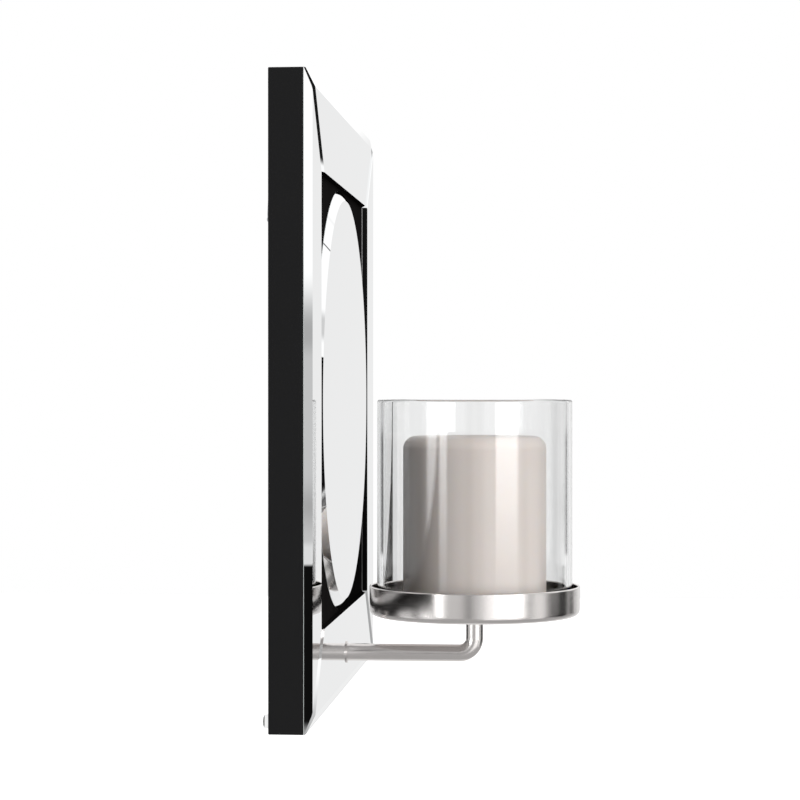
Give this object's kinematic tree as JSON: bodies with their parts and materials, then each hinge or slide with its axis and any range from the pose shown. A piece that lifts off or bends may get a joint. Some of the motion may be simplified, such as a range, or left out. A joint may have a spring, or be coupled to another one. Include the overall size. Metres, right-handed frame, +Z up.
{
  "type": "wall sconce candle holder",
  "caption": "Square mirrored wall panel with a bent metal arm that holds a pillar candle on a shallow dish inside a clear glass cylinder.",
  "frame": {"origin": "on the wall, behind the centre of the square panel, in the plane that the rubber bumpers touch", "axes": "+X out of the wall, +Y along the wall, +Z up"},
  "size_m": [0.144, 0.3048, 0.3048],
  "materials": {
    "black_board": "satin black lacquer on fibreboard",
    "mirror": "silvered glass with ground and polished bevels",
    "polished_nickel": "polished nickel plate with a slight satin",
    "zinc_steel": "bright zinc plate",
    "clear_glass": "clear, fire-polished lips",
    "wax": "smooth ivory wax, slightly translucent",
    "wick": "waxed cotton braid",
    "foam_tape": "closed-cell foam tape",
    "nylon": "natural nylon",
    "clear_rubber": "clear polyurethane"
  },
  "bodies": {
    "panel": {"backboard": "black_board", "mirror_tape": "foam_tape", "mirror_strip_top": "mirror", "mirror_strip_bottom": "mirror", "mirror_strip_left": "mirror", "mirror_strip_right": "mirror", "round_mirror": "mirror", "arm": "polished_nickel", "arm_collar": "polished_nickel", "arm_bush": "nylon", "arm_plate": "zinc_steel", "arm_plate_screws": "zinc_steel", "arm_washer": "zinc_steel", "arm_screw": "zinc_steel", "dish": "polished_nickel", "dish_washer": "polished_nickel", "dish_screw": "polished_nickel", "hanger_strap_left": "zinc_steel", "hanger_strap_right": "zinc_steel", "hanger_screws": "zinc_steel", "wall_bumper_left": "clear_rubber", "wall_bumper_right": "clear_rubber"},
    "glass": {"glass_cylinder": "clear_glass"},
    "candle": {"candle_wax": "wax", "candle_wick": "wick", "wick_sustainer": "zinc_steel"},
    "ring_left": {"hanger_ring_left": "zinc_steel"},
    "ring_right": {"hanger_ring_right": "zinc_steel"}
  },
  "joints": [
    {"name": "glass_lift", "type": "slide", "parent": "panel", "child": "glass", "axis": [0, 0, 1], "range_m": [0, 0.12]},
    {"name": "candle_lift", "type": "slide", "parent": "panel", "child": "candle", "axis": [0, 0, 1], "range_m": [0, 0.125]},
    {"name": "ring_left_swing", "type": "hinge", "parent": "panel", "child": "ring_left", "pos_m": [0.00175, -0.133, 0.084], "axis": [0, -1, 0], "range_deg": [0, 150]},
    {"name": "ring_right_swing", "type": "hinge", "parent": "panel", "child": "ring_right", "pos_m": [0.00175, 0.133, 0.084], "axis": [0, -1, 0], "range_deg": [0, 150]}
  ]
}
